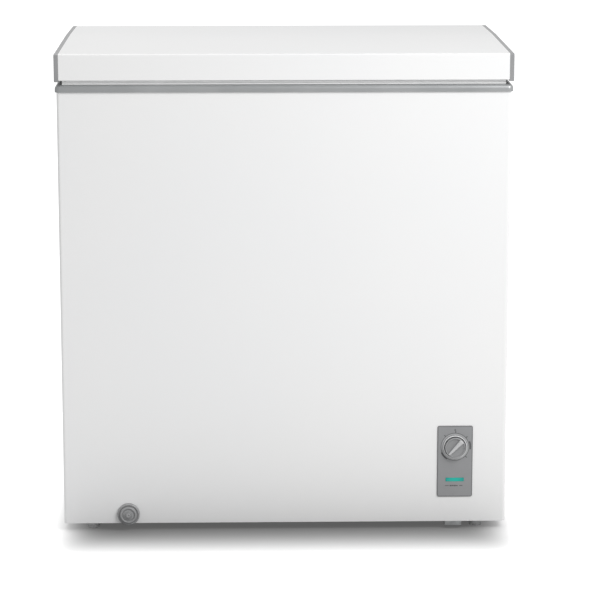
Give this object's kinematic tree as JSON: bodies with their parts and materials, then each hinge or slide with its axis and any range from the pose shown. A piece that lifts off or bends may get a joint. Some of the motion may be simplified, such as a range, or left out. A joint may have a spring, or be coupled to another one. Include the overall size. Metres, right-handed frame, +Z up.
{
  "type": "chest freezer",
  "caption": "Free-standing chest freezer with a hinged insulated lid, front control panel, front drain, hanging wire basket and side compressor compartment.",
  "frame": {"origin": "on the floor, under the middle of the overall box", "axes": "+Z up, -Y is the front with the controls, +X to the right seen from the front"},
  "size_m": [0.8, 0.5644, 0.86],
  "materials": {
    "white_paint": "satin",
    "galvanised_sheet": "satin",
    "liner_aluminium": "satin",
    "insulation_foam": "matte",
    "grey_plastic": "satin",
    "cap_plastic": "satin",
    "white_plastic": "gloss",
    "seal_rubber": "matte",
    "black_rubber": "matte",
    "foot_plastic": "matte",
    "hinge_steel": "satin",
    "pin_steel": "polished",
    "spring_steel": "satin",
    "screw_zinc": "satin",
    "compressor_black": "satin",
    "copper_tube": "satin",
    "steel_tube": "satin",
    "coil_aluminium": "satin",
    "black_plastic": "matte",
    "panel_grey": "satin",
    "knob_grey": "satin",
    "lens_teal": "gloss",
    "lamp_plastic": "gloss",
    "lead_sheath": "matte",
    "basket_wire": "gloss"
  },
  "bodies": {
    "cabinet": {"outer_case": "white_paint", "rear_panel": "galvanised_sheet", "bottom_panel": "galvanised_sheet", "inner_liner": "liner_aluminium", "cabinet_foam": "insulation_foam", "room_partition": "galvanised_sheet", "top_frame": "grey_plastic", "feet": "foot_plastic", "side_grille": "grey_plastic", "service_cover": "galvanised_sheet", "cover_screws": "screw_zinc", "cord_inlet": "black_rubber", "base_plate": "galvanised_sheet", "compressor_shell": "compressor_black", "compressor_bracket": "compressor_black", "compressor_grommets": "black_rubber", "compressor_studs": "screw_zinc", "compressor_nuts": "screw_zinc", "relay_cover": "black_plastic", "discharge_tube": "copper_tube", "suction_tube": "copper_tube", "process_tube": "copper_tube", "filter_drier": "copper_tube", "capillary_tube": "copper_tube", "condenser_coil": "steel_tube", "evaporator_coil": "coil_aluminium", "sensor_tube": "copper_tube", "control_bezel": "panel_grey", "control_box": "black_plastic", "thermostat_body": "galvanised_sheet", "indicator_lens": "lens_teal", "indicator_lamp": "lamp_plastic", "compressor_lead": "lead_sheath", "drain_collar": "white_plastic", "drain_pipe": "white_plastic", "hinge_body_left": "hinge_steel", "hinge_body_right": "hinge_steel", "hinge_pin_left": "pin_steel", "hinge_pin_right": "pin_steel", "hinge_spring_left": "spring_steel", "hinge_spring_right": "spring_steel", "hinge_cover_left": "cap_plastic", "hinge_cover_right": "cap_plastic", "hinge_screws": "screw_zinc"},
    "lid": {"lid_skin": "white_paint", "lid_end_cap_left": "cap_plastic", "lid_end_cap_right": "cap_plastic", "lid_liner": "white_plastic", "lid_foam": "insulation_foam", "lid_gasket": "seal_rubber", "hinge_leaf_left": "hinge_steel", "hinge_leaf_right": "hinge_steel", "leaf_screws": "screw_zinc"},
    "control_knob": {"thermostat_knob": "knob_grey", "thermostat_spindle": "pin_steel"},
    "drain_spout": {"drain_spout": "white_plastic"},
    "drain_dial": {"drain_dial": "white_plastic"},
    "drain_stopper": {"drain_stopper": "black_rubber"},
    "basket": {"storage_basket": "basket_wire"}
  },
  "joints": [
    {"name": "lid_hinge", "type": "hinge", "parent": "cabinet", "child": "lid", "pos_m": [0, 0.27225, 0.807], "axis": [-1, 0, 0], "range_deg": [0, 85]},
    {"name": "thermostat_turn", "type": "hinge", "parent": "cabinet", "child": "control_knob", "pos_m": [0.305, -0.27, 0.1536], "axis": [0, 1, 0], "range_deg": [-177, 93]},
    {"name": "basket_slide", "type": "slide", "parent": "cabinet", "child": "basket", "axis": [-1, 0, 0], "range_m": [0, 0.405]},
    {"name": "spout_pull", "type": "slide", "parent": "cabinet", "child": "drain_spout", "axis": [0, -1, 0], "range_m": [0, 0.025]},
    {"name": "drain_turn", "type": "hinge", "parent": "drain_spout", "child": "drain_dial", "pos_m": [-0.281, -0.27, 0.032], "axis": [0, 1, 0], "range_deg": [0, 180]},
    {"name": "stopper_lift", "type": "slide", "parent": "cabinet", "child": "drain_stopper", "axis": [0, 0, 1], "range_m": [0, 0.03]}
  ]
}
